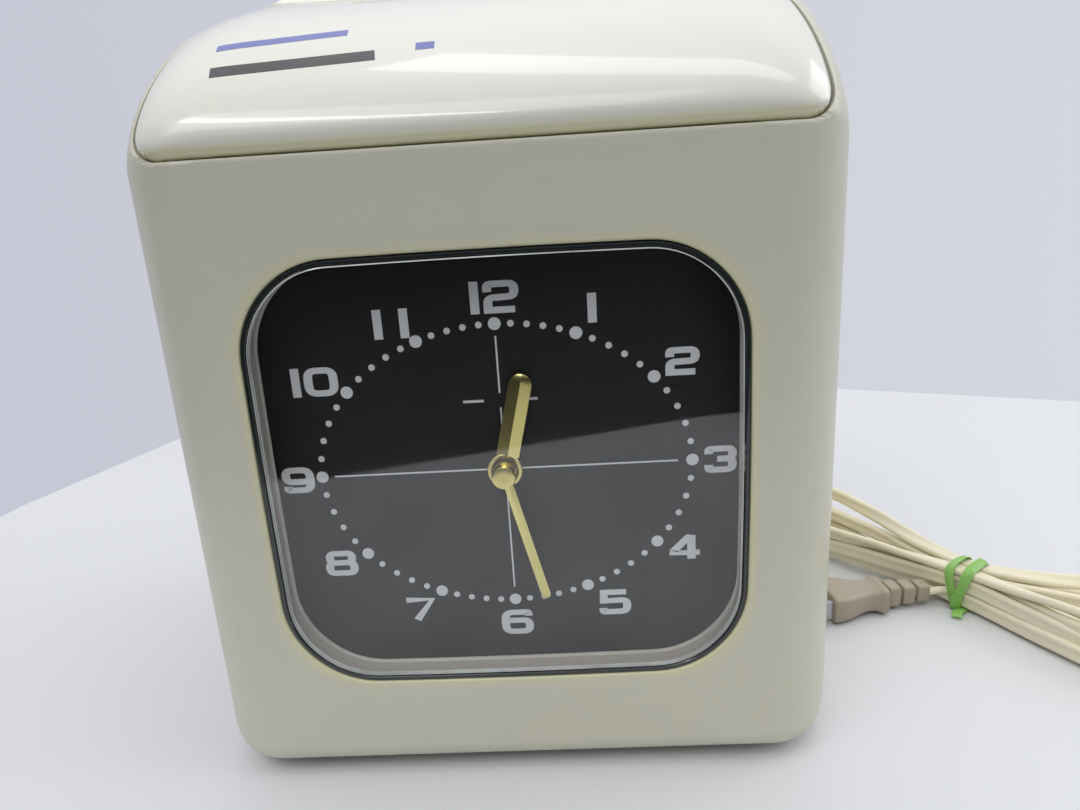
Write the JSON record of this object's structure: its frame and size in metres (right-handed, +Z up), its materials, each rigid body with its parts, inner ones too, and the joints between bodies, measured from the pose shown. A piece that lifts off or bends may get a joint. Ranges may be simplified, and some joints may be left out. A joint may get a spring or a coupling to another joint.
{
  "type": "punch time clock",
  "caption": "Desk or wall time recorder with an analogue dial in a rounded window, hinged top cover, raised card hood with a slot, and a tied flat mains lead.",
  "frame": {"origin": "centre of the footprint, on the surface the feet stand on", "axes": "+Z up, -Y towards the reader of the dial, +X to the reader's right"},
  "size_m": [0.275, 0.1682, 0.213],
  "materials": {
    "bezel": "satin",
    "black_plastic": "satin",
    "board": "solder mask",
    "brass": "satin",
    "case": "satin",
    "cover": "gloss",
    "dial_black": "matte print",
    "foot_rubber": "matt",
    "gold": "polished gold",
    "key_blue": "satin",
    "lead": "satin vinyl",
    "lens": "clear",
    "plug": "satin vinyl",
    "ribbon": "inked cloth",
    "steel": "brushed",
    "tie": "satin",
    "white_plastic": "satin",
    "zinc": "zinc plated"
  },
  "bodies": {
    "case": {"front_case": "case", "rear_panel": "case", "base_plate": "case", "setting_panel": "case", "card_hood": "cover", "foot_front_left": "foot_rubber", "foot_front_right": "foot_rubber", "foot_rear_left": "foot_rubber", "foot_rear_right": "foot_rubber", "window_gasket": "black_plastic", "ribbon_cassette": "black_plastic", "window_lens": "lens", "window_bezel": "bezel", "dial_plate": "dial_black", "movement_front_plate": "brass", "movement_back_plate": "brass", "chute_front_plate": "steel", "chute_rear_plate": "steel", "type_shaft": "steel", "hammer_shaft": "steel", "hammer_solenoid": "steel", "transformer": "steel", "motor_stator": "zinc", "chassis": "zinc", "receiver_motor": "zinc", "type_bracket": "zinc", "print_motor": "zinc", "lock_body": "zinc", "ink_ribbon": "ribbon", "setting_board": "board", "main_board": "board", "strain_relief": "lead", "mains_lead": "lead", "lead_hank": "lead", "lead_tie": "tie", "power_plug": "plug"},
    "cover": {"top_cover": "cover"},
    "minute": {"minute_hand": "gold", "minute_arbor": "brass"},
    "hour": {"hour_hand": "gold", "hour_wheel": "brass"},
    "motion": {"motion_wheel": "brass"},
    "third": {"third_wheel": "brass"},
    "rotor": {"motor_rotor": "steel"},
    "minute_type": {"minute_type_wheel": "black_plastic"},
    "hour_type": {"hour_type_wheel": "black_plastic"},
    "day_type": {"day_type_wheel": "black_plastic"},
    "print_drive": {"print_pinion": "white_plastic"},
    "hammer": {"print_hammer": "steel"},
    "plunger": {"solenoid_plunger": "steel"},
    "receiver": {"card_receiver": "black_plastic"},
    "receiver_drive": {"receiver_pinion": "white_plastic"},
    "spool_left": {"ribbon_spool_left": "white_plastic"},
    "spool_right": {"ribbon_spool_right": "white_plastic"},
    "key_1": {"setting_key_1": "key_blue"},
    "key_2": {"setting_key_2": "key_blue"},
    "key_3": {"setting_key_3": "key_blue"},
    "lock": {"lock_barrel": "steel", "lock_cam": "steel"}
  },
  "joints": [
    {"name": "cover_hinge", "type": "hinge", "parent": "case", "child": "cover", "pos_m": [0, 0.024, 0.193], "axis": [-1, 0, 0], "range_deg": [0, 65]},
    {"name": "minute_spin", "type": "hinge", "parent": "case", "child": "minute", "pos_m": [0, -0.05, 0.078], "axis": [0, 1, 0], "continuous": true},
    {"name": "hour_spin", "type": "hinge", "parent": "case", "child": "hour", "pos_m": [0, -0.05, 0.078], "axis": [0, 1, 0], "continuous": true},
    {"name": "motion_spin", "type": "hinge", "parent": "case", "child": "motion", "pos_m": [0.018, -0.042, 0.078], "axis": [0, 1, 0], "continuous": true},
    {"name": "third_spin", "type": "hinge", "parent": "case", "child": "third", "pos_m": [-0.019, -0.035, 0.078], "axis": [0, 1, 0], "continuous": true},
    {"name": "rotor_spin", "type": "hinge", "parent": "case", "child": "rotor", "pos_m": [-0.019, -0.035, 0.09], "axis": [0, 1, 0], "continuous": true},
    {"name": "minute_type_spin", "type": "hinge", "parent": "case", "child": "minute_type", "pos_m": [0.005, 0.022, 0.167], "axis": [1, 0, 0], "continuous": true},
    {"name": "hour_type_spin", "type": "hinge", "parent": "case", "child": "hour_type", "pos_m": [-0.005, 0.022, 0.167], "axis": [1, 0, 0], "continuous": true},
    {"name": "day_type_spin", "type": "hinge", "parent": "case", "child": "day_type", "pos_m": [-0.013, 0.022, 0.167], "axis": [1, 0, 0], "continuous": true},
    {"name": "print_drive_spin", "type": "hinge", "parent": "case", "child": "print_drive", "pos_m": [0.009, 0.022, 0.1517], "axis": [1, 0, 0], "continuous": true},
    {"name": "hammer_swing", "type": "hinge", "parent": "case", "child": "hammer", "pos_m": [0, 0.054, 0.14], "axis": [1, 0, 0], "range_deg": [0, 19]},
    {"name": "plunger_travel", "type": "slide", "parent": "case", "child": "plunger", "axis": [0, 0, -1], "range_m": [0, 0.0012]},
    {"name": "receiver_travel", "type": "slide", "parent": "case", "child": "receiver", "axis": [0, 0, 1], "range_m": [0, 0.058]},
    {"name": "receiver_drive_spin", "type": "hinge", "parent": "case", "child": "receiver_drive", "pos_m": [0.024, 0.0525, 0.095], "axis": [1, 0, 0], "range_deg": [-720, 0]},
    {"name": "spool_right_spin", "type": "hinge", "parent": "case", "child": "spool_right", "pos_m": [0.038, 0.015, 0.168], "axis": [0, 0, 1], "continuous": true},
    {"name": "spool_left_spin", "type": "hinge", "parent": "case", "child": "spool_left", "pos_m": [-0.038, 0.015, 0.168], "axis": [0, 0, 1], "continuous": true},
    {"name": "key_1_press", "type": "slide", "parent": "case", "child": "key_1", "axis": [0, 0, -1], "range_m": [0, 0.0015], "stiffness_N_per_m": 300, "springref_m": -0.002},
    {"name": "key_2_press", "type": "slide", "parent": "case", "child": "key_2", "axis": [0, 0, -1], "range_m": [0, 0.0015], "stiffness_N_per_m": 300, "springref_m": -0.002},
    {"name": "key_3_press", "type": "slide", "parent": "case", "child": "key_3", "axis": [0, 0, -1], "range_m": [0, 0.0015], "stiffness_N_per_m": 300, "springref_m": -0.002},
    {"name": "lock_turn", "type": "hinge", "parent": "case", "child": "lock", "pos_m": [0.07, -0.015, 0.158], "axis": [1, 0, 0], "range_deg": [0, 90]}
  ],
  "couplings": [
    {"joint": "hour_spin", "follows": "minute_spin", "ratio": 0.083333},
    {"joint": "motion_spin", "follows": "minute_spin", "ratio": -0.33333},
    {"joint": "third_spin", "follows": "minute_spin", "ratio": -3.75},
    {"joint": "rotor_spin", "follows": "minute_spin", "ratio": 11.25},
    {"joint": "minute_type_spin", "follows": "minute_spin", "ratio": 1},
    {"joint": "hour_type_spin", "follows": "minute_spin", "ratio": 0.083333},
    {"joint": "day_type_spin", "follows": "minute_spin", "ratio": 0.0034722},
    {"joint": "print_drive_spin", "follows": "minute_spin", "ratio": -2.4},
    {"joint": "plunger_travel", "follows": "hammer_swing", "m_per_rad": 0.0035},
    {"joint": "receiver_drive_spin", "follows": "receiver_travel", "rad_per_m": -200},
    {"joint": "spool_left_spin", "follows": "spool_right_spin", "ratio": 1}
  ]
}
